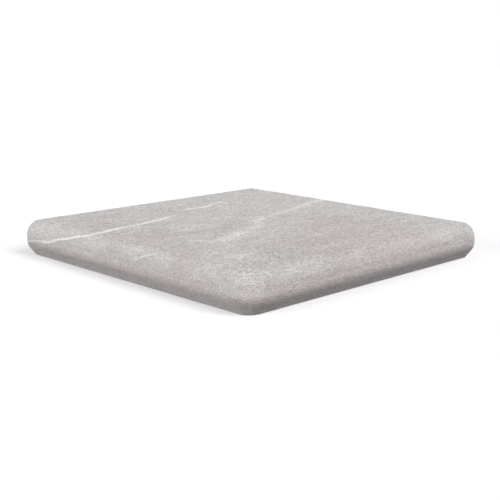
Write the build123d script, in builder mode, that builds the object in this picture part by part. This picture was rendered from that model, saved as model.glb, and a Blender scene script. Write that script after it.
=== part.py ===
"""Corner stair tread tile, pressed and fired in one piece of porcelain stoneware.

The tile turns the outer corner of a staircase. Its flat tread runs into a rounded nose on the two
outer sides, front (-Y) and right (+X), and the two noses meet round the outer corner. Below the
round, the nose falls as a short upright band and a bevel to a narrow foot. The left (-X) and back
(+Y) sides are cut straight, because the neighbouring treads butt against them. Underneath, the
noses stand proud as a lip on two sides of a recess that takes the mortar bed, and the plate's back
has a grid of shallow keys that the mortar grips.

The origin is at the centre of the footprint, at the level of the foot. +Z is up.
"""

import os
from math import atan2, radians, tan

from build123d import *

# Overall size, in millimetres and degrees
tread_length = 330.0
tread_depth = 330.0
nose_height = 37.5
plate_thickness = 15.0

# Section of the nose, from the tread down to the foot
nose_top_radius = 15.0
bevel_width = 10.5
bevel_height = 12.5
bevel_blend_radius = 15.0
shortest_band = 0.5
foot_arris_radius = 2.5

# The outer corner, seen from above: the radius left on the flat tread, inside the round
tread_corner_radius = 9.0
nose_corner_radius = tread_corner_radius + nose_top_radius

# The lip under the nose: its foot, and the draft that lets it leave the die
foot_width = 21.5
lip_draft = 8.0
lip_corner_radius = 12.0
lip_root_radius = 4.0

# The keys in the back of the plate: square cells between ribs
key_pitch = 31.0
rib_width = 6.0
key_depth = 1.2
key_draft = 20.0
key_corner_radius = 4.0
key_margin = 5.0

# The die's core starts this far outside the cut sides, so that the recess runs out through them
core_overrun = 20.0

# Two places nearer to each other than this count as one
same_place = 0.01

left_side = -tread_length / 2
right_side = tread_length / 2
front_side = -tread_depth / 2
back_side = tread_depth / 2

# The blend between band and bevel is as large as stated, or as the upright band has room for
bevel_angle = atan2(bevel_width, bevel_height)
band_height = nose_height - nose_top_radius - bevel_height
blend_room = (band_height - shortest_band) / tan(bevel_angle / 2)
blend_radius = min(bevel_blend_radius, blend_room)

# The recess at the level of the foot, from the lip's inner walls out past the cut sides
recess_height = nose_height - plate_thickness
lip_width = bevel_width + foot_width
core_length = tread_length - lip_width + core_overrun
core_depth = tread_depth - lip_width + core_overrun
core_centre = (
    right_side - lip_width - core_length / 2,
    front_side + lip_width + core_depth / 2,
)

# The flat of the plate's back: what the drafted lip and its root leave, and the keys that fit it
lip_root_width = lip_width + recess_height * tan(radians(lip_draft)) + lip_root_radius
flat_length = tread_length - lip_root_width
flat_depth = tread_depth - lip_root_width
flat_centre = (left_side + flat_length / 2, back_side - flat_depth / 2)
key_size = key_pitch - rib_width
keys_along = int((flat_length - 2 * key_margin + rib_width) // key_pitch)
keys_across = int((flat_depth - 2 * key_margin + rib_width) // key_pitch)


def outer_corner(sketch):
    """The sketch's corner nearest the tile's outer corner, at +X and -Y."""
    return sketch.vertices().sort_by(lambda vertex: vertex.X - vertex.Y)[-1]


def at_height(shapes, height):
    """The edges or faces whose middle is at this height."""
    return shapes.filter_by_position(Axis.Z, height - same_place, height + same_place)


def along_noses(edges):
    """The edges that run round the two noses: those that don't lie on the left or back side."""
    right_of_cut = edges.filter_by(lambda edge: edge.center().X > left_side + same_place)
    return right_of_cut.filter_by(lambda edge: edge.center().Y < back_side - same_place)


with BuildPart() as tile:
    # The blank: a full-height block with its outer corner rounded in plan
    with BuildSketch() as blank:
        Rectangle(tread_length, tread_depth)
        fillet(outer_corner(blank), nose_corner_radius)
    extrude(amount=nose_height)

    # The nose from below: the bevel, its soft turn into the upright band, and the foot's arris
    foot = tile.faces().sort_by(Axis.Z)[0]
    chamfer(along_noses(foot.edges()), bevel_width, bevel_height, reference=foot)
    fillet(along_noses(at_height(tile.edges(), bevel_height)), blend_radius)
    foot = tile.faces().sort_by(Axis.Z)[0]
    fillet(along_noses(foot.edges()), foot_arris_radius)

    # The round of the nose, which turns the outer corner as part of a torus
    tread = tile.faces().sort_by(Axis.Z)[-1]
    fillet(along_noses(tread.edges()), nose_top_radius)

    # The recess under the plate, open on the two cut sides, with drafted walls inside the lips
    with BuildSketch() as core:
        with Locations(core_centre):
            Rectangle(core_length, core_depth)
        fillet(outer_corner(core), lip_corner_radius)
    extrude(amount=recess_height, taper=lip_draft, mode=Mode.SUBTRACT)
    plate_back = at_height(tile.faces().filter_by(Plane.XY), recess_height)[0]
    fillet(along_noses(plate_back.edges()), lip_root_radius)

    # The keys, cut up into the plate's back
    with BuildSketch(Plane.XY.offset(recess_height)):
        with Locations(flat_centre):
            with GridLocations(key_pitch, key_pitch, keys_along, keys_across):
                RectangleRounded(key_size, key_size, key_corner_radius)
    extrude(amount=key_depth, taper=key_draft, mode=Mode.SUBTRACT)

tile.part.label = "corner_tread_tile"

os.makedirs("parts", exist_ok=True)
export_step(tile.part, "parts/corner_tread_tile.step")
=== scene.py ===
from math import pi, radians, tan

import bmesh
import bpy
import numpy as np
from mathutils import Matrix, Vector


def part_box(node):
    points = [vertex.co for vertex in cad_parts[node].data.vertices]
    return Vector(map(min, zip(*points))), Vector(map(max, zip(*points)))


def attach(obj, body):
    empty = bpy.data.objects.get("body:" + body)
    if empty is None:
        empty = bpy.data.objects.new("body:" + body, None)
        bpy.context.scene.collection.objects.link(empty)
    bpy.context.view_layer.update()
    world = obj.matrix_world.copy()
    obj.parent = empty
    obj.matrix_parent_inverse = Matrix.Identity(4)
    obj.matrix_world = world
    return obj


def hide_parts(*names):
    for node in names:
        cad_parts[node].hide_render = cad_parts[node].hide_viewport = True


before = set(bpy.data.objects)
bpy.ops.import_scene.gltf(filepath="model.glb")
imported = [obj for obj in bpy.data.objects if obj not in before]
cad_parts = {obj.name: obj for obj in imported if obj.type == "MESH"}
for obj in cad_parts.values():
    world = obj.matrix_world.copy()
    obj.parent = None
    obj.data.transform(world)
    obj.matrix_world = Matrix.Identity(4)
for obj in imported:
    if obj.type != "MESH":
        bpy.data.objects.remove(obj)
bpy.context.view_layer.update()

# The tile is one piece of porcelain stoneware: dry granulate is pressed in a die, the tread and the
# two noses are printed and matt glazed in one skin, and the whole is fired hard. Its two cut sides
# and its underside stay bare body. Lengths are millimetres until the mesh is made.
MM = 0.001
left, front, foot_level = (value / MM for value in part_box("corner_tread_tile")[0])
right, back, tread_level = (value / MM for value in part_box("corner_tread_tile")[1])

# The pressed stone texture swings about this depth, so that its highest points lie just within the
# tile's full size. Its lattices repeat after this many cells, which is far past the tile.
relief_depth = 0.25
lattice_size = 512


def lattice_noise(u, v, spacing, seed):
    """Smooth noise from -1 to 1 in the plane: random values on a square lattice, blended across each
    cell by the curve 3t^2 - 2t^3 in both directions."""
    values = np.random.default_rng(seed).uniform(-1, 1, (lattice_size, lattice_size))
    column, row = np.floor(u / spacing).astype(int), np.floor(v / spacing).astype(int)
    across, along = u / spacing - column, v / spacing - row
    across, along = (t * t * (3 - 2 * t) for t in (across, along))
    column, next_column = column % lattice_size, (column + 1) % lattice_size
    row, next_row = row % lattice_size, (row + 1) % lattice_size
    near = values[row, column] * (1 - across) + values[row, next_column] * across
    far = values[next_row, column] * (1 - across) + values[next_row, next_column] * across
    return near * (1 - along) + far * along


def relief(u, v):
    """How far the texture lies below the full size: the depth plus waves, lumps and pits, each a
    noise with its own height and spacing in millimetres. The lumps' lattice is a little skewed."""
    waves = 0.07 * lattice_noise(u, v, 23.0, 11)
    lumps = 0.11 * lattice_noise(u * 0.8 + v * 0.3, v * 0.9 - u * 0.2, 7.0, 12)
    pits = 0.06 * lattice_noise(u, v, 3.2, 13)
    return relief_depth + waves + lumps + pits


# The nose's section, from the flat tread through round, band, blend and bevel to the foot's arris
nose_corner_radius = 24.0
nose_top_radius = 15.0
bevel_width, bevel_height = 10.5, 12.5
bevel_blend_radius = 15.0
bevel_points = 9
foot_arris_radius = 2.5
mesh_step = 1.4


def spaced(start, end, step):
    """Places evenly spaced from start to end, a step apart or a little less."""
    return np.linspace(start, end, int(np.ceil(abs(end - start) / step)) + 1)


def arc(centre, radius, start, end, step):
    """Points on a circle, from one angle to another, a step apart: centre + radius * (cos, sin)."""
    angle = np.linspace(start, end, int(np.ceil(radius * abs(end - start) / step)) + 1)
    return np.stack([centre[0] + radius * np.cos(angle), centre[1] + radius * np.sin(angle)], -1)


# Each point of the section is how far out it reaches, from the corner's centre, and how high it is
nose_reach = nose_corner_radius
bevel_angle = np.arctan2(bevel_width, bevel_height)
blend_run = bevel_blend_radius * tan(bevel_angle / 2)
arris_run = foot_arris_radius * tan((pi / 2 - bevel_angle) / 2)
round_centre = (nose_reach - nose_top_radius, tread_level - nose_top_radius)
blend_centre = (nose_reach - bevel_blend_radius, bevel_height + blend_run)
arris_centre = (nose_reach - bevel_width - arris_run, foot_arris_radius)
bevel_top = (
    nose_reach - blend_run * np.sin(bevel_angle),
    bevel_height - blend_run * np.cos(bevel_angle),
)
bevel_bottom = (
    nose_reach - bevel_width + arris_run * np.sin(bevel_angle),
    arris_run * np.cos(bevel_angle),
)
flat_part = spaced(0, round_centre[0], mesh_step)
band_part = spaced(round_centre[1], blend_centre[1], mesh_step)
nose_profile = np.concatenate([
    np.stack([flat_part, np.full(len(flat_part), tread_level)], -1)[:-1],
    arc(round_centre, nose_top_radius, pi / 2, 0, mesh_step)[:-1],
    np.stack([np.full(len(band_part), nose_reach), band_part], -1)[:-1],
    arc(blend_centre, bevel_blend_radius, 0, -bevel_angle, mesh_step)[:-1],
    np.linspace(bevel_top, bevel_bottom, bevel_points)[:-1],
    arc(arris_centre, foot_arris_radius, -bevel_angle, -pi / 2, mesh_step / 2),
])
# How far along the section each point is, and which way the surface faces there
profile_run = np.concatenate([[0], np.cumsum(np.hypot(*np.diff(nose_profile, axis=0).T))])
profile_way = np.gradient(nose_profile, axis=0)
profile_way /= np.hypot(*profile_way.T)[:, None]
profile_out = np.stack([-profile_way[:, 1], profile_way[:, 0]], -1)

# The tread: a level grid that stops at the lines through the corner's centre, with a small arris
# along the cut sides
cut_arris = 0.2
corner_x, corner_y = right - nose_corner_radius, front + nose_corner_radius
tread_x = np.concatenate([[left], spaced(left + cut_arris, corner_x, mesh_step)])
tread_y = np.concatenate([spaced(corner_y, back - cut_arris, mesh_step), [back]])
grid_x, grid_y = np.meshgrid(tread_x, tread_y)
grid_drop = relief(grid_x, grid_y) + cut_arris * ((grid_x == left) | (grid_y == back))
tread = np.stack([grid_x, grid_y, tread_level - grid_drop], -1)
tread_plan = np.stack([grid_x, grid_y], -1)


def corner_path(along_front, along_right, centre, corner_steps):
    """Stations along the front, round the outer corner and along the right side.

    Each station has a base point on the lines through the corner's centre, and a heading: 0 faces
    the front (-Y) and a quarter turn faces right (+X), so that outward is (sin, -cos) of it.
    """
    turn = np.linspace(0, pi / 2, corner_steps + 1)[1:-1]
    heading = np.concatenate([np.zeros(len(along_front)), turn, np.full(len(along_right), pi / 2)])
    base_x = np.concatenate([along_front, np.full(len(turn) + len(along_right), centre[0])])
    base_y = np.concatenate([np.full(len(along_front) + len(turn), centre[1]), along_right])
    return base_x, base_y, heading


def carried(path, reach, height):
    """A profile carried along a path: each station's base + outward * reach, at that height."""
    base_x, base_y, heading = (part[:, None] for part in path)
    x = base_x + np.sin(heading) * reach
    y = base_y - np.cos(heading) * reach
    return np.stack(np.broadcast_arrays(x, y, height), -1)


# The two noses and the outer corner: the section carried along one path. Its plan, unrolled, is
# where each point would lie if the skin were peeled flat, level with the tread. The relief fades out
# towards the foot, which stays true.
nose_corner_steps = 18
relief_fade = 6.0
nose_path = corner_path(tread_x, tread_y, (corner_x, corner_y), nose_corner_steps)
nose_plan = carried(nose_path, profile_run, 0.0)[..., :2]
skin_fade = np.clip((profile_run[-1] - profile_run) / relief_fade, 0, 1)
nose_drop = relief(nose_plan[..., 0], nose_plan[..., 1]) * skin_fade
nose_drop[0] += cut_arris * skin_fade
nose_drop[-1] += cut_arris * skin_fade
nose = carried(
    nose_path,
    nose_profile[:, 0] - profile_out[:, 0] * nose_drop,
    nose_profile[:, 1] - profile_out[:, 1] * nose_drop,
)

# The lip's inside, up the drafted wall and round the root to the plate's back. Its stations are in
# line with the steps of the keys beside it.
plate_thickness = 15.0
lip_width = 32.0
lip_draft = radians(8.0)
lip_corner_radius = 12.0
lip_root_radius = 4.0
lip_wall_points = 5
lip_corner_steps = 6
key_pitch = 31.0
keys_each_way = 9
steps_each_key = 8

plate_back_level = tread_level - plate_thickness
lip_x, lip_y = right - lip_width - lip_corner_radius, front + lip_width + lip_corner_radius
draft_run = plate_back_level * tan(lip_draft)
root_run = lip_root_radius * tan((pi / 2 - lip_draft) / 2)
root_centre = (lip_corner_radius - draft_run - root_run, plate_back_level - lip_root_radius)
wall_levels = np.linspace(foot_level, plate_back_level - root_run * np.cos(lip_draft), lip_wall_points)
lip_profile = np.concatenate([
    np.stack([lip_corner_radius - wall_levels * tan(lip_draft), wall_levels], -1)[:-1],
    arc(root_centre, lip_root_radius, lip_draft, pi / 2, mesh_step),
])
# The block of keys lies in the middle of the flat that the lip's wall and root leave
block_size = keys_each_way * key_pitch
key_margin = (right - left - lip_width - draft_run - lip_root_radius - block_size) / 2
key_step = key_pitch / steps_each_key
block_steps = np.arange(keys_each_way * steps_each_key + 1) * key_step
block_x = left + key_margin + block_steps
block_y = back - key_margin - block_steps[::-1]
under_x = np.concatenate([[left], block_x])
under_y = np.concatenate([block_y, [back]])
lip_path = corner_path(
    np.append(under_x, lip_x), np.insert(under_y, 0, lip_y), (lip_x, lip_y), lip_corner_steps
)
lip = carried(lip_path, lip_profile[:, 0], lip_profile[:, 1])


def level_grid(x, y):
    """The points of a grid at the level of the plate's back: a row for each x, a column for each y."""
    return np.stack(np.meshgrid(x, y, [plate_back_level], indexing="ij"), -1)[:, :, 0]


# The plain margins of the plate's back, round the block of keys
margin_edge = np.stack([
    np.clip(lip_path[0], left, block_x[-1]),
    np.clip(lip_path[1], block_y[0], back),
    np.full(len(lip_path[0]), plate_back_level),
], -1)
margin = np.stack([lip[:, -1], margin_edge], 1)
left_margin = level_grid(under_x[:2], under_y)
back_margin = level_grid(block_x, under_y[-2:])


def all_round(side, level):
    """The side's points repeated on the four sides of the square and closed, at that level."""
    x, y = side.T
    ring = np.concatenate([side, np.stack([-y, x], -1), -side, np.stack([y, -x], -1), side[:1]])
    return np.column_stack([ring, np.full(len(ring), level)])


def key_ring(half, radius, level):
    """One closed ring of a key: a square of that half width with rounded corners. A side has half of
    an arc, a straight stretch of five points and the start of the next arc."""
    turn = radians(45) * np.array([-1, -0.5, 0, 0, 0, 0, 0, 0.5])
    middle = (half - radius) * np.array([-1, -1, -1, -0.5, 0, 0.5, 1, 1])
    side = np.stack([middle + radius * np.sin(turn), radius - half - radius * np.cos(turn)], -1)
    return all_round(side, level)


# The keys: shallow square pans with drafted walls, every cell alike. A pan's rings give its half
# width, corner radius and depth, from the rim to the floor, with both edges softened. The last ring
# is its middle, which closes it.
rib_width = 6.0
key_depth = 1.2
key_draft = radians(20.0)
rim_corner_radius = 4.0
floor_corner_radii = 3.6, 3.2
edge_out, edge_in, edge_drop = 0.35, 0.1, 0.25
pan_rim = (key_pitch - rib_width) / 2
pan_floor = pan_rim - key_depth * tan(key_draft)
pan_rings = [
    (pan_rim + edge_out, rim_corner_radius + edge_out, 0.0),
    (pan_rim - edge_in, rim_corner_radius - edge_in, edge_drop),
    (pan_floor + edge_in, floor_corner_radii[0], key_depth - edge_drop),
    (pan_floor - edge_out, floor_corner_radii[1], key_depth),
]
pan = [key_ring(half, radius, plate_back_level + depth) for half, radius, depth in pan_rings]
pan_middle = np.tile([0.0, 0.0, plate_back_level + key_depth], (len(pan[0]), 1))
edge_x = (np.arange(steps_each_key) - steps_each_key // 2) * key_step
cell_edge = all_round(np.stack([edge_x, np.full(steps_each_key, -key_pitch / 2)], -1), plate_back_level)
key_cell = np.stack([cell_edge, *pan, pan_middle])
every_middle = slice(steps_each_key // 2, None, steps_each_key)
cell_x, cell_y = np.meshgrid(block_x[every_middle], block_y[every_middle])
cell_middle = np.stack([cell_x.ravel(), cell_y.ravel(), np.zeros(cell_x.size)], -1)
keys = key_cell[None] + cell_middle[:, None, None]

# The flat faces cut or pressed in one plane: the foot, and the section at each cut side
foot_face = np.concatenate([nose[:, -1], lip[::-1, 0]])
left_face = np.concatenate([
    tread[1:, 0], left_margin[0, ::-1], lip[0, ::-1], nose[0, ::-1],
])
back_face = np.concatenate([
    tread[-1, :-1], nose[-1], lip[-1], back_margin[::-1, 1], left_margin[0, -1:],
])


def quads(rows, columns):
    """The faces of a grid of points: each joins a point to its neighbours in both directions."""
    index = np.arange(rows * columns).reshape(rows, columns)
    return np.stack([index[:-1, :-1], index[1:, :-1], index[1:, 1:], index[:-1, 1:]], -1).reshape(-1, 4)


# Every grid of points with its faces. The first two are the printed skin, the others bare body.
grids = [tread, nose, lip, margin, left_margin, back_margin, *keys]
flats = [foot_face, left_face, back_face]
points = np.concatenate([grid.reshape(-1, 3) for grid in grids] + flats)
plan = np.concatenate([tread_plan.reshape(-1, 2), nose_plan.reshape(-1, 2)])
plan = np.concatenate([plan, points[len(plan):, :2]])
starts = np.cumsum([0] + [grid[..., 0].size for grid in grids] + [len(flat) for flat in flats])
grid_faces = [quads(*grid.shape[:2]) + start for grid, start in zip(grids, starts)]
skin_faces = len(grid_faces[0]) + len(grid_faces[1])
four_sided = np.concatenate(grid_faces)
flat_corners = np.arange(starts[len(grids)], starts[-1])
corners = np.concatenate([four_sided.ravel(), flat_corners])
face_sizes = np.concatenate([np.full(len(four_sided), 4), [len(flat) for flat in flats]])

# The print is a pale grey limestone, drawn on the skin peeled flat. A drawn line's rows are x and y
# from the tile's centre, half width, and strength from 0 to 1. The long vein starts low on the front
# nose at the left cut side, climbs along the nose and turns in across the tread.
white_veins = [
    np.array([
        (-170.0, -181.5, 0.8, 0.65), (-151.5, -177.5, 0.8, 0.65), (-138.0, -176.0, 0.8, 0.7),
        (-132.0, -175.6, 2.0, 1.0), (-126.5, -175.2, 1.7, 1.0), (-121.0, -173.8, 1.3, 0.95),
        (-108.0, -169.5, 1.2, 0.95), (-98.0, -167.3, 1.2, 0.95), (-89.0, -165.3, 1.2, 1.0),
        (-81.5, -162.0, 1.1, 1.0), (-69.5, -158.5, 1.3, 1.0), (-64.0, -155.0, 1.7, 1.0),
        (-62.5, -149.0, 2.6, 1.0), (-63.5, -141.0, 3.2, 1.0), (-66.5, -131.5, 3.4, 1.0),
        (-68.0, -123.0, 3.3, 1.0), (-71.0, -113.5, 2.6, 0.95), (-70.5, -106.0, 2.0, 0.85),
        (-70.0, -95.0, 2.0, 0.8), (-71.0, -86.5, 2.2, 0.85), (-75.0, -75.5, 3.0, 1.0),
        (-77.0, -58.0, 3.2, 1.0), (-81.5, -46.0, 2.8, 0.9), (-85.5, -34.5, 1.5, 0.6),
        (-89.0, -24.0, 1.2, 0.0),
    ]),
    np.array([
        (-104.5, -3.0, 1.4, 0.0), (-105.0, 1.0, 2.2, 0.8), (-106.0, 9.0, 2.4, 1.0),
        (-101.5, 23.0, 2.4, 1.0), (-105.5, 36.0, 2.2, 0.95), (-112.5, 51.5, 1.9, 0.85),
        (-114.5, 63.0, 2.2, 0.85), (-121.0, 71.0, 1.2, 0.0),
    ]),
    np.array([
        (-114.5, 63.0, 2.0, 0.8), (-110.5, 64.0, 1.8, 0.7), (-102.5, 61.0, 1.5, 0.5),
        (-93.5, 56.0, 1.2, 0.0),
    ]),
]
# Hairlines, which are shorter and fainter
hairlines = [
    np.array([
        (116.0, -129.0, 1.2, 0.0), (112.0, -123.0, 1.6, 0.55), (106.0, -114.5, 1.8, 0.6),
        (104.0, -104.0, 1.6, 0.55), (102.5, -95.0, 1.5, 0.45), (98.0, -85.0, 1.2, 0.0),
    ]),
    np.array([(106.0, -114.5, 1.5, 0.5), (99.0, -116.0, 1.3, 0.5), (95.0, -118.0, 1.2, 0.0)]),
    np.array([(112.0, -141.0, 1.0, 0.0), (111.5, -137.0, 1.4, 0.4), (113.0, -128.0, 1.0, 0.0)]),
    np.array([(-39.5, -16.0, 1.4, 0.0), (-40.0, -10.0, 1.9, 0.5), (-40.0, -5.0, 1.4, 0.0)]),
    np.array([(154.0, -141.0, 1.2, 0.0), (157.0, -137.0, 1.6, 0.6), (160.0, -133.0, 1.2, 0.0)]),
    np.array([
        (24.0, -109.0, 1.4, 0.0), (27.5, -104.0, 2.0, 0.5), (33.0, -95.0, 2.0, 0.5),
        (37.0, -88.0, 1.4, 0.0),
    ]),
    np.array([
        (14.0, -171.0, 1.0, 0.0), (17.0, -169.0, 1.1, 0.35), (28.0, -163.0, 1.1, 0.4),
        (42.0, -157.0, 1.1, 0.3), (50.0, -150.0, 1.0, 0.0),
    ]),
    np.array([
        (-48.0, 180.0, 1.8, 0.6), (-45.0, 163.0, 1.9, 0.6), (-43.0, 146.0, 1.7, 0.5),
        (-37.0, 122.0, 1.3, 0.3), (-31.0, 104.0, 1.4, 0.4), (-23.0, 84.0, 1.4, 0.35),
        (-17.0, 54.0, 1.3, 0.25), (-12.0, 36.0, 1.2, 0.0),
    ]),
    np.array([
        (-36.0, 138.0, 1.2, 0.0), (-31.0, 124.0, 1.5, 0.4), (-25.0, 104.0, 1.4, 0.35),
        (-21.0, 92.0, 1.2, 0.0),
    ]),
    np.array([
        (22.0, -26.0, 1.2, 0.0), (21.0, -21.0, 1.8, 0.4), (18.0, -8.0, 1.8, 0.45),
        (17.5, 0.0, 1.6, 0.35), (17.0, 6.0, 1.2, 0.0),
    ]),
]
# The veil: a broad band of fine white threads, from the back side past the middle of the tread, and
# three small patches of the same
veil_lines = [
    np.array([
        (-48.0, 180.0, 5.0, 0.9), (-45.0, 163.0, 5.0, 0.95), (-43.0, 146.0, 6.0, 0.9),
        (-37.0, 122.0, 6.0, 0.75), (-31.0, 104.0, 6.0, 0.7), (-23.0, 84.0, 6.0, 0.55),
        (-17.0, 54.0, 7.0, 0.6), (-10.0, 27.0, 10.0, 0.8), (-2.0, 12.0, 9.0, 0.75),
        (12.0, -2.0, 7.0, 0.5), (24.0, -22.0, 7.0, 0.55), (33.0, -44.0, 9.0, 0.9),
        (40.0, -64.0, 11.0, 1.0), (44.0, -80.0, 10.0, 1.0), (42.0, -94.0, 7.0, 0.9),
        (38.0, -108.0, 6.0, 0.0),
    ]),
    np.array([
        (-36.0, -46.0, 13.0, 0.0), (-27.0, -58.0, 15.0, 0.35), (-18.0, -70.0, 14.0, 0.35),
        (-8.0, -80.0, 12.0, 0.0),
    ]),
    np.array([
        (86.0, -112.0, 5.0, 0.0), (94.0, -118.0, 6.0, 0.3), (102.0, -126.0, 6.0, 0.25),
        (110.0, -136.0, 5.0, 0.0),
    ]),
    np.array([
        (-166.0, -172.0, 6.0, 0.1), (-142.0, -169.0, 7.0, 0.3), (-116.0, -161.0, 7.0, 0.25),
        (-98.0, -148.0, 5.0, 0.0),
    ]),
]
# Rosy areas: x, y, half length, half width, turn of the long way in degrees, and strength, which is
# negative where the stone is a purer grey
rosy_areas = np.array([
    (122.0, 20.0, 100.0, 48.0, 100.0, 0.9),
    (55.0, 62.0, 62.0, 32.0, 110.0, 0.6),
    (188.0, 20.0, 160.0, 36.0, 90.0, 0.55),
    (-5.0, -124.0, 48.0, 33.0, -45.0, 0.85),
    (-108.0, -108.0, 42.0, 20.0, -45.0, 0.8),
    (-108.0, -16.0, 20.0, 10.0, -45.0, 0.5),
    (-6.0, -34.0, 40.0, 14.0, -50.0, 0.35),
    (70.0, -156.0, 34.0, 14.0, -45.0, 0.6),
    (153.0, -88.0, 24.0, 12.0, 90.0, -0.6),
    (158.0, 136.0, 32.0, 14.0, 90.0, -0.7),
    (96.0, -42.0, 34.0, 16.0, 100.0, 0.4),
    (-148.0, -158.0, 24.0, 12.0, 0.0, -0.5),
    (-38.0, -150.0, 30.0, 12.0, -40.0, 0.5),
])
# The noses turn rosy towards the foot, from this far below the tread and over this height
rosy_foot = 0.7
rosy_foot_start, rosy_foot_run = 8.0, 15.0
# Painted light and shade along the noses, in soft stripes by height: a paler painted band of light on
# the upright band, and darker painted shade on the round and where the nose turns under into the
# bevel. Each row is the change of tone, height above the foot, and half width.
painted_light_and_shade_rows = np.array([
    (0.09, 20.5, 2.6),
    (-0.07, 31.5, 4.0),
    (-0.14, 12.0, 3.0),
])
# A drawn line's strength holds and then falls to nothing this many half widths away
line_reach = 6.0


def drawn_line(plan, line):
    """Each point's distance from the nearest place on a drawn line, in the half widths there and
    signed by side, and the line's strength there times (1 - distance / reach)^(1/4)."""
    start, way = line[:-1, :2], np.diff(line[:, :2], axis=0)
    offset = plan[:, None] - start
    share = np.clip((offset * way).sum(-1) / (way**2).sum(-1), 0, 1)
    gap = np.hypot(*np.moveaxis(offset - share[..., None] * way, -1, 0))
    nearest, row = gap.argmin(1), np.arange(len(plan))
    side = np.sign(way[nearest, 0] * offset[row, nearest, 1] - way[nearest, 1] * offset[row, nearest, 0])
    place = nearest + share[row, nearest]
    half_width, strength = (np.interp(place, np.arange(len(line)), line[:, column]) for column in (2, 3))
    distance = side * gap[row, nearest] / half_width
    return distance, strength * np.clip(1 - np.abs(distance) / line_reach, 0, 1) ** 0.25


def soft_ellipses(plan, rows):
    """The sum of soft spots: each is strength * exp(-(along/length)^2 - (across/width)^2)."""
    x, y, length, width, turn, strength = rows.T
    turn = np.radians(turn)
    offset_x, offset_y = plan[:, :1] - x, plan[:, 1:] - y
    along = offset_x * np.cos(turn) + offset_y * np.sin(turn)
    across = offset_y * np.cos(turn) - offset_x * np.sin(turn)
    return (strength * np.exp(-(along / length) ** 2 - (across / width) ** 2)).sum(1)


# Each point goes with the vein or hairline that is nearest, counted in half widths
traces = np.array([drawn_line(plan, line) for line in white_veins + hairlines])
own_line = np.abs(traces[:, 0]).argmin(0)
vein_distance, vein_strength = traces[own_line, :, np.arange(len(plan))].T
veils = [drawn_line(plan, line) for line in veil_lines]
veil = np.max([strength * np.exp(-distance**2) for distance, strength in veils], 0)
below_tread = tread_level - points[:, 2]
rosiness = soft_ellipses(plan, rosy_areas)
rosiness += rosy_foot * np.clip((below_tread - rosy_foot_start) / rosy_foot_run, 0, 1)
# The noses' painted light and shade: a factor on the print's tone, from the stripes by height
change, stripe_height, stripe_width = painted_light_and_shade_rows.T
painted_nose_shading = 1 + (change * np.exp(-((points[:, 2:] - stripe_height) / stripe_width) ** 2)).sum(1)

# The mesh, with the print's values and the noses' painted light and shade on its points
mesh = bpy.data.meshes.new("corner_tread_tile_body")
mesh.vertices.add(len(points))
mesh.vertices.foreach_set("co", (points * MM).ravel())
mesh.loops.add(len(corners))
mesh.loops.foreach_set("vertex_index", corners)
mesh.polygons.add(len(face_sizes))
mesh.polygons.foreach_set("loop_start", np.concatenate([[0], np.cumsum(face_sizes)[:-1]]))
mesh.polygons.foreach_set("material_index", (np.arange(len(face_sizes)) >= skin_faces).astype(int))
mesh.update(calc_edges=True)
for name, values in (
    ("vein_distance", vein_distance), ("vein_strength", vein_strength), ("veil", veil),
    ("rosiness", rosiness), ("painted_nose_shading", painted_nose_shading),
):
    mesh.attributes.new(name, "FLOAT", "POINT").data.foreach_set("value", values)

# The seams between the grids are closed, and every face is turned outwards. An edge that turns by
# more than the crease angle stays sharp.
seam_gap = 0.005
crease_angle = radians(35)
joined = bmesh.new()
joined.from_mesh(mesh)
bmesh.ops.remove_doubles(joined, verts=joined.verts, dist=seam_gap * MM)
bmesh.ops.recalc_face_normals(joined, faces=joined.faces)
joined.to_mesh(mesh)
joined.free()
mesh.shade_smooth()
mesh.set_sharp_from_angle(angle=crease_angle)

tile = bpy.data.objects.new("stair_tile", mesh)
bpy.context.scene.collection.objects.link(tile)
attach(tile, "root")
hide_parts("corner_tread_tile")


def linear(colour):
    """The linear colour of an sRGB hex value, with full alpha."""
    value = np.array([int(colour[i:i + 2], 16) for i in (1, 3, 5)]) / 255
    value = np.where(value <= 0.04045, value / 12.92, ((value + 0.055) / 1.055) ** 2.4)
    return (*value, 1.0)


def add(tree, kind, inputs=None, **settings):
    """A new node with its settings. An input is a constant, or another node's output to link."""
    node = tree.nodes.new("ShaderNode" + kind)
    for name, value in settings.items():
        setattr(node, name, value)
    for socket, value in (inputs or {}).items():
        if isinstance(value, bpy.types.NodeSocket):
            tree.links.new(value, node.inputs[socket])
        else:
            node.inputs[socket].default_value = value
    return node


def new_material(name):
    """An empty node material, and its tree."""
    material = bpy.data.materials.new(name)
    material.use_nodes = True
    material.node_tree.nodes.clear()
    return material, material.node_tree


# A colour mix has these sockets: how much, the two colours it goes between, and its result
SHARE, FIRST, SECOND, MIXED = 0, 6, 7, 2

# Matt glazed porcelain stoneware, printed before firing: a dry, even stone look with no gloss line.
# Its grain is a fine speckle over softer clouds, and the glaze follows it. The real speckle is under
# a millimetre, and it is drawn at 1.2 mm and more, to show.
glaze, tree = new_material("matt_glazed_porcelain_stoneware")
grey_stone, rosy_stone = "#CAC8C6", "#C5BDBD"
veil_white, vein_white = "#EDEBEA", "#F6F3F2"
streak_width, thread_width = 2.0, 2.2
cloud_size, wisp_size, fray_size = 12.0, 7.0, 3.0
ripple_size, grit_size = 4.5, 1.3

# Each way is the place times a factor: under 1 draws a pattern out along the stone's bedding, front
# to back, and over 1 presses it flat, so that it lies in level streaks on the noses
place = add(tree, "TexCoord").outputs["Object"]
grain_way = add(tree, "VectorMath", {0: place, 1: (1.0, 0.6, 3.4)}, operation="MULTIPLY").outputs[0]
bedding_way = add(tree, "VectorMath", {0: place, 1: (1.0, 0.42, 1.4)}, operation="MULTIPLY").outputs[0]
strata_way = add(tree, "VectorMath", {0: place, 1: (1.0, 0.42, 5.0)}, operation="MULTIPLY").outputs[0]
streak_way = add(tree, "VectorMath", {0: place, 1: (1.0, 0.2, 1.7)}, operation="MULTIPLY").outputs[0]
thread_way = add(tree, "VectorMath", {0: place, 1: (1.0, 0.16, 1.0)}, operation="MULTIPLY").outputs[0]

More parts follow.
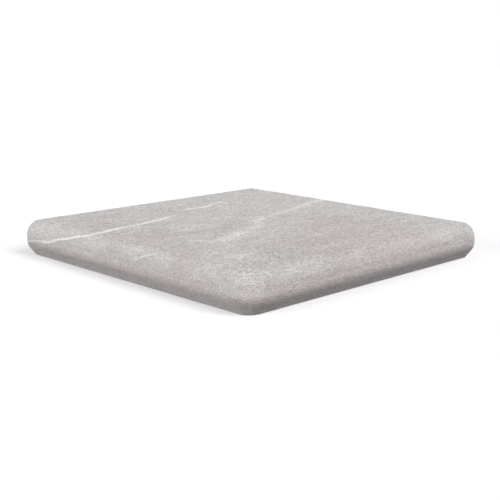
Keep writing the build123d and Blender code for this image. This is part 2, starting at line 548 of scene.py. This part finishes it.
# The tone is about 1. Each layer of grain has its way, its size in millimetres, its detail and how
# far it swings the tone, and thin darker streaks come on top.
tone_layers = [
    (grain_way, 1.2, 1.0, 1.0),
    (grain_way, 2.4, 1.0, 0.85),
    (strata_way, 5.0, 3.0, 0.38),
    (strata_way, 14.0, 2.0, 0.24),
    (bedding_way, 40.0, 1.0, 0.12),
]
streak_tone = -0.12
tone = 1 - sum(swing for _, _, _, swing in tone_layers) / 2
for way, size, detail, swing in tone_layers:
    grain = add(tree, "TexNoise", {"Vector": way, "Scale": 1 / (size * MM), "Detail": detail}).outputs[0]
    tone = add(tree, "Math", {0: grain, 1: swing, 2: tone}, operation="MULTIPLY_ADD").outputs[0]
streaks = add(tree, "TexNoise", {
    "Vector": streak_way, "Scale": 1 / (streak_width * MM), "Detail": 2.0,
}).outputs[0]
streaks = add(tree, "MapRange", {"Value": streaks, "From Min": 0.6, "From Max": 0.75}).outputs[0]
tone = add(tree, "Math", {0: streaks, 1: streak_tone, 2: tone}, operation="MULTIPLY_ADD").outputs[0]
# The noses' painted light and shade scales the tone: a paler painted band and darker painted shade
painted_shade_factor = add(tree, "Attribute", attribute_name="painted_nose_shading").outputs["Fac"]
tone = add(tree, "Math", {0: tone, 1: painted_shade_factor}, operation="MULTIPLY").outputs[0]

# The stone goes from grey to rosy where soft clouds and the rosy areas add up
cloud_weight = 2.5
clouds = add(tree, "TexNoise", {
    "Vector": bedding_way, "Scale": 1 / (cloud_size * MM), "Detail": 3.0,
}).outputs[0]
rosy = add(tree, "Attribute", attribute_name="rosiness").outputs["Fac"]
rosy = add(tree, "Math", {0: clouds, 1: cloud_weight, 2: rosy}, operation="MULTIPLY_ADD").outputs[0]
rosy = add(tree, "MapRange", {"Value": rosy, "From Min": 1.3, "From Max": 1.85}).outputs[0]
stone = add(tree, "Mix", {
    SHARE: rosy, FIRST: linear(grey_stone), SECOND: linear(rosy_stone),
}, data_type="RGBA").outputs[MIXED]

# The veil's threads are drawn out six times along the bedding, and broken by soft wisps
threads = add(tree, "TexNoise", {
    "Vector": thread_way, "Scale": 1 / (thread_width * MM), "Detail": 2.0,
}).outputs[0]
wisps = add(tree, "TexNoise", {
    "Vector": place, "Scale": 1 / (wisp_size * MM), "Detail": 4.0, "Roughness": 0.6,
}).outputs[0]
broken = add(tree, "Math", {0: threads, 1: wisps}, operation="ADD").outputs[0]
broken = add(tree, "MapRange", {"Value": broken, "From Min": 0.76, "From Max": 1.12}).outputs[0]
veil_share = add(tree, "Attribute", attribute_name="veil").outputs["Fac"]
veil_share = add(tree, "Math", {0: veil_share, 1: broken}, operation="MULTIPLY").outputs[0]
stone = add(tree, "Mix", {
    SHARE: veil_share, FIRST: stone, SECOND: linear(veil_white),
}, data_type="RGBA").outputs[MIXED]
toned = add(tree, "VectorMath", {0: stone, "Scale": tone}, operation="SCALE").outputs[0]

# A vein's edge wanders by about a third of its half width, and is soft. Its white covers the grain.
fray_reach = 2.2
fray = add(tree, "TexNoise", {"Vector": place, "Scale": 1 / (fray_size * MM), "Detail": 3.0}).outputs[0]
fray = add(tree, "Math", {0: fray, 1: fray_reach, 2: -fray_reach / 2}, operation="MULTIPLY_ADD").outputs[0]
vein = add(tree, "Attribute", attribute_name="vein_distance").outputs["Fac"]
vein = add(tree, "Math", {0: vein, 1: fray}, operation="ADD").outputs[0]
vein = add(tree, "Math", {0: vein}, operation="ABSOLUTE").outputs[0]
vein = add(tree, "MapRange", {
    "Value": vein, "From Min": 1.4, "From Max": 0.4,
}, interpolation_type="SMOOTHSTEP").outputs[0]
strength = add(tree, "Attribute", attribute_name="vein_strength").outputs["Fac"]
vein = add(tree, "Math", {0: vein, 1: strength}, operation="MULTIPLY").outputs[0]
printed = add(tree, "Mix", {
    SHARE: vein, FIRST: toned, SECOND: linear(vein_white),
}, data_type="RGBA").outputs[MIXED]

# The finest of the stone texture: ripples of a few millimetres, and grit of about one at less height
dimple_depth = 0.4
grit_share = 0.45
ripple = add(tree, "TexNoise", {
    "Vector": grain_way, "Scale": 1 / (ripple_size * MM), "Detail": 2.0,
}).outputs[0]
grit = add(tree, "TexNoise", {"Vector": place, "Scale": 1 / (grit_size * MM), "Detail": 2.0}).outputs[0]
texture = add(tree, "Math", {0: grit, 1: grit_share, 2: ripple}, operation="MULTIPLY_ADD").outputs[0]
dimples = add(tree, "Bump", {
    "Height": texture, "Distance": dimple_depth * MM, "Strength": 1.0,
}).outputs[0]
surface = add(tree, "BsdfPrincipled", {
    "Base Color": printed, "Roughness": 0.7, "IOR": 1.5, "Normal": dimples,
}).outputs[0]
add(tree, "OutputMaterial", {"Surface": surface})
mesh.materials.append(glaze)

# The bare body, pressed from spray-dried granules of about half a millimetre: dense, dry and dull,
# with a faint pepper of darker and paler grains. The grains are drawn at twice their size, to show.
body, tree = new_material("bare_porcelain_stoneware_body")
darker_clay, paler_clay = "#B2ABA0", "#BDB6AB"
dark_grain, pale_grain = "#857E74", "#D3CEC4"
granule_size, clay_cloud_size = 1.1, 20.0
pore_depth = 0.06

place = add(tree, "TexCoord").outputs["Object"]
granules = add(tree, "TexNoise", {
    "Vector": place, "Scale": 1 / (granule_size * MM), "Detail": 2.0,
}).outputs[0]
clay_clouds = add(tree, "TexNoise", {
    "Vector": place, "Scale": 1 / (clay_cloud_size * MM), "Detail": 3.0,
}).outputs[0]
dark_share = add(tree, "MapRange", {"Value": granules, "From Min": 0.4, "From Max": 0.3}).outputs[0]
pale_share = add(tree, "MapRange", {"Value": granules, "From Min": 0.58, "From Max": 0.72}).outputs[0]
clay = add(tree, "Mix", {
    SHARE: clay_clouds, FIRST: linear(darker_clay), SECOND: linear(paler_clay),
}, data_type="RGBA").outputs[MIXED]
clay = add(tree, "Mix", {
    SHARE: dark_share, FIRST: clay, SECOND: linear(dark_grain),
}, data_type="RGBA").outputs[MIXED]
clay = add(tree, "Mix", {
    SHARE: pale_share, FIRST: clay, SECOND: linear(pale_grain),
}, data_type="RGBA").outputs[MIXED]
pores = add(tree, "Bump", {
    "Height": granules, "Distance": pore_depth * MM, "Strength": 1.0,
}).outputs[0]
surface = add(tree, "BsdfPrincipled", {
    "Base Color": clay, "Roughness": 0.85, "IOR": 1.5, "Normal": pores,
}).outputs[0]
add(tree, "OutputMaterial", {"Surface": surface})
mesh.materials.append(body)

# The studio: a wide pale floor and four soft lamps far away, at a level where a colour renders about
# as it is written. What the camera and reflections see of the floor and the room is white paper.
# Lengths are metres from here on.
floor_half = 6.0
floor_level = -0.0001
floor_mesh = bpy.data.meshes.new("floor")
floor_corners = [(-1, -1), (1, -1), (1, 1), (-1, 1)]
floor_points = [(x * floor_half, y * floor_half, floor_level) for x, y in floor_corners]
floor_mesh.from_pydata(floor_points, [], [(0, 1, 2, 3)])
floor = bpy.data.objects.new("floor", floor_mesh)
bpy.context.scene.collection.objects.link(floor)


def looked_at(tree):
    """1 for rays that show a surface or the room to the eye: camera, glossy and transmission rays."""
    ray = add(tree, "LightPath").outputs
    seen = add(tree, "Math", {0: ray["Is Camera Ray"], 1: ray["Is Glossy Ray"]}, operation="ADD").outputs[0]
    return add(tree, "Math", {0: seen, 1: ray["Is Transmission Ray"]}, operation="ADD").outputs[0]


# Matt studio paper. The eye sees it white, with the tile's soft shadow. What it throws back under the
# nose is weak and even, as from a wide floor that the tile hardly shades.
paper, tree = new_material("matt_studio_paper")
white, paper_grey = linear("#FFFFFF"), linear("#E3E3E3")
paper_glow, paper_bounce = 0.4, 0.09
matt = add(tree, "BsdfDiffuse", {"Color": paper_grey}).outputs[0]
glow = add(tree, "Emission", {"Color": white, "Strength": paper_glow}).outputs[0]
paper_seen = add(tree, "AddShader", {0: matt, 1: glow}).outputs[0]
bounce = add(tree, "Emission", {"Color": white, "Strength": paper_bounce}).outputs[0]
paper_surface = add(tree, "MixShader", {0: looked_at(tree), 1: bounce, 2: paper_seen}).outputs[0]
add(tree, "OutputMaterial", {"Surface": paper_surface})
floor_mesh.materials.append(paper)

# The room gives a little even light, and the eye sees it white
room_light = 0.2
world = bpy.data.worlds.new("studio_room")
bpy.context.scene.world = world
world.use_nodes = True
world.node_tree.nodes.clear()
tree = world.node_tree
level = add(tree, "MapRange", {"Value": looked_at(tree), "To Min": room_light, "To Max": 1.0}).outputs[0]
room = add(tree, "Background", {"Color": white, "Strength": level}).outputs[0]
add(tree, "OutputWorld", {"Surface": room})

# Each lamp: name, azimuth round from the front (-Y) to the right (+X), elevation, strength, spread
for name, azimuth, elevation, strength, spread in [
    ("front_low", -6, 12, 2.01, 30),
    ("right_high", 96, 37, 2.24, 40),
    ("left_low", 270, 5, 1.55, 10),
    ("back_low", 180, 5, 1.55, 10),
]:
    lamp = bpy.data.lights.new(name, "SUN")
    lamp.energy = strength
    lamp.angle = radians(spread)
    lamp_holder = bpy.data.objects.new(name, lamp)
    turned = Matrix.Rotation(radians(azimuth), 4, "Z")
    lamp_holder.matrix_world = turned @ Matrix.Rotation(radians(90 - elevation), 4, "X")
    bpy.context.scene.collection.objects.link(lamp_holder)

# The camera, where the photograph was taken from: turned to look in over the outer corner, dipped to
# the tread, and rolled a little
camera_place = (0.68726, -0.67911, 0.22346)
camera_turn, camera_dip, camera_roll = 45.368, 12.561, 0.303
camera = bpy.data.cameras.new("camera")
camera.sensor_width = 36.0
camera.lens = 68.2255
camera_holder = bpy.data.objects.new("camera", camera)
camera_holder.matrix_world = (
    Matrix.Translation(camera_place)
    @ Matrix.Rotation(radians(camera_turn), 4, "Z")
    @ Matrix.Rotation(radians(90 - camera_dip), 4, "X")
    @ Matrix.Rotation(radians(camera_roll), 4, "Z")
)
bpy.context.scene.collection.objects.link(camera_holder)
bpy.context.scene.camera = camera_holder
bpy.context.scene.view_settings.view_transform = "Standard"
